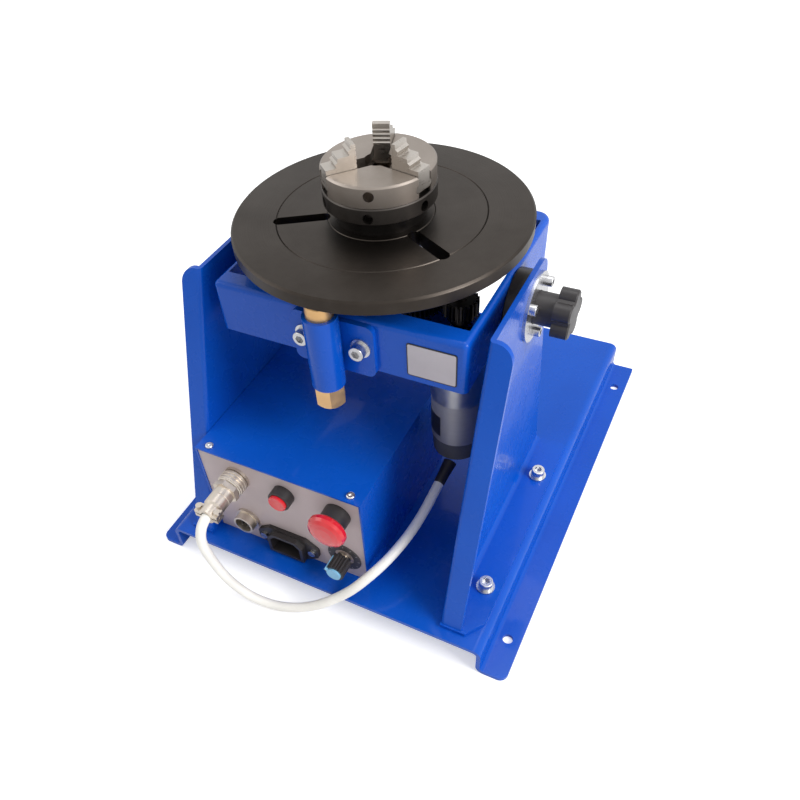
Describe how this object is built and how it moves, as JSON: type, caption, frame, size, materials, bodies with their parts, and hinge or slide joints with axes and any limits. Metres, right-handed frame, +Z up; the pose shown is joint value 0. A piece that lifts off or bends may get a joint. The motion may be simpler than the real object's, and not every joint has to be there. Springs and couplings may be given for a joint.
{
  "type": "welding positioner",
  "caption": "Desktop welding positioner: bent steel stand, frame tilting backwards, motor-driven turntable with a scroll chuck, earthing brush and a control box with its motor lead.",
  "frame": {"origin": "centre of the four floor holes, at floor level", "axes": "+X along the tilt axis towards the lock knob, -Y towards the operator and control panel, +Z up"},
  "size_m": [0.286, 0.3662, 0.2863],
  "materials": {
    "blue_paint": "gloss",
    "table_steel": "satin",
    "chuck_steel": "polished",
    "black_steel": "satin",
    "zinc_steel": "satin",
    "panel_grey": "satin",
    "brass": "satin",
    "nickel": "polished",
    "black_plastic": "satin",
    "red_plastic": "gloss",
    "blue_plastic": "satin",
    "cord_white": "satin",
    "board_green": "satin",
    "cast_aluminium": "satin"
  },
  "bodies": {
    "base": {"base_plate": "blue_paint", "right_upright": "blue_paint", "left_upright": "blue_paint", "foot_bolts": "zinc_steel", "clamp_ring": "zinc_steel", "clamp_screws": "zinc_steel", "box_cover": "blue_paint", "box_chassis": "panel_grey", "cover_screws": "zinc_steel", "motor_socket": "nickel", "pedal_socket": "nickel", "socket_nuts": "nickel", "socket_inserts": "black_plastic", "plug_shell": "nickel", "cable_clamp": "nickel", "motor_cable": "cord_white", "cable_boot": "black_plastic", "mains_inlet": "black_plastic", "inlet_pins": "nickel", "inlet_screws": "nickel", "start_bezel": "black_plastic", "stop_collar": "black_plastic", "speed_pot": "nickel", "power_supply": "cast_aluminium", "speed_board": "board_green"},
    "tilting_frame": {"tilt_frame": "blue_paint", "carrier_plate": "blue_paint", "tilt_studs": "zinc_steel", "friction_discs": "black_plastic", "pivot_nut": "zinc_steel", "bearing_housing": "cast_aluminium", "spindle_bearings": "nickel", "housing_screws": "black_steel", "gearbox": "zinc_steel", "motor_can": "zinc_steel", "motor_end_cap": "black_plastic", "brush_holder": "blue_paint", "bracket_screws": "zinc_steel", "brush_end_nut": "brass", "brush_spring": "zinc_steel"},
    "table": {"spindle": "zinc_steel", "spindle_nut": "zinc_steel", "drive_wheel": "black_steel", "turntable": "table_steel", "table_screws": "black_steel", "chuck_adapter": "black_steel", "chuck_body": "chuck_steel"},
    "scroll": {"scroll_ring": "black_steel"},
    "chuck_jaw_1": {"jaw_1": "chuck_steel"},
    "chuck_jaw_2": {"jaw_2": "chuck_steel"},
    "chuck_jaw_3": {"jaw_3": "chuck_steel"},
    "pinion": {"motor_pinion": "black_steel"},
    "lock_knob": {"star_knob": "black_plastic"},
    "brush": {"earthing_brush": "brass"},
    "start_push": {"start_button": "red_plastic"},
    "stop_push": {"stop_plunger": "black_plastic"},
    "stop_mushroom": {"stop_head": "red_plastic"},
    "speed_dial": {"speed_knob": "black_plastic", "speed_knob_cap": "blue_plastic"},
    "plug_ring": {"coupling_ring": "nickel"}
  },
  "joints": [
    {"name": "tilt", "type": "hinge", "parent": "base", "child": "tilting_frame", "pos_m": [0, -0.027, 0.194], "axis": [-1, 0, 0], "range_deg": [0, 90]},
    {"name": "table_spin", "type": "hinge", "parent": "tilting_frame", "child": "table", "pos_m": [0, -0.0325, 0.2322], "axis": [0, 0, 1], "continuous": true},
    {"name": "pinion_spin", "type": "hinge", "parent": "tilting_frame", "child": "pinion", "pos_m": [0.058, -0.04786, 0.199], "axis": [0, 0, 1], "continuous": true},
    {"name": "scroll_turn", "type": "hinge", "parent": "table", "child": "scroll", "pos_m": [0, -0.0325, 0.255], "axis": [0, 0, 1], "range_deg": [-720, 720]},
    {"name": "jaw_1_slide", "type": "slide", "parent": "table", "child": "chuck_jaw_1", "axis": [0.9744, -0.225, 0], "range_m": [-0.0085, 0.0085]},
    {"name": "jaw_2_slide", "type": "slide", "parent": "table", "child": "chuck_jaw_2", "axis": [-0.2924, 0.9563, 0], "range_m": [-0.0085, 0.0085]},
    {"name": "jaw_3_slide", "type": "slide", "parent": "table", "child": "chuck_jaw_3", "axis": [-0.682, -0.7314, 0], "range_m": [-0.0085, 0.0085]},
    {"name": "knob_turn", "type": "hinge", "parent": "tilting_frame", "child": "lock_knob", "pos_m": [0.1, -0.027, 0.194], "axis": [1, 0, 0], "range_deg": [-90, 180]},
    {"name": "brush_slide", "type": "slide", "parent": "tilting_frame", "child": "brush", "axis": [0, 0, 1], "range_m": [-0.004, 0], "stiffness_N_per_m": 300, "springref_m": 0.006, "deforming": ["brush_spring"]},
    {"name": "start_press", "type": "slide", "parent": "base", "child": "start_push", "axis": [0, 1, 0], "range_m": [0, 0.002], "stiffness_N_per_m": 400, "springref_m": -0.0008},
    {"name": "stop_press", "type": "slide", "parent": "base", "child": "stop_push", "axis": [0, 1, 0], "range_m": [0, 0.0035], "stiffness_N_per_m": 500, "springref_m": -0.0012},
    {"name": "stop_twist", "type": "hinge", "parent": "stop_push", "child": "stop_mushroom", "pos_m": [0.0165, -0.1636, 0.093], "axis": [0, -1, 0], "range_deg": [0, 45], "stiffness_Nm_per_rad": 0.02, "springref_deg": -2.86},
    {"name": "speed_turn", "type": "hinge", "parent": "base", "child": "speed_dial", "pos_m": [0.0165, -0.1576, 0.045], "axis": [0, -1, 0], "range_deg": [-150, 150]},
    {"name": "ring_turn", "type": "hinge", "parent": "base", "child": "plug_ring", "pos_m": [-0.062, -0.1556, 0.093], "axis": [0, -1, 0], "range_deg": [0, 360]}
  ],
  "couplings": [
    {"joint": "pinion_spin", "follows": "table_spin", "ratio": -5},
    {"joint": "jaw_1_slide", "follows": "scroll_turn", "m_per_rad": -0.00063662},
    {"joint": "jaw_2_slide", "follows": "scroll_turn", "m_per_rad": -0.00063662},
    {"joint": "jaw_3_slide", "follows": "scroll_turn", "m_per_rad": -0.00063662}
  ]
}
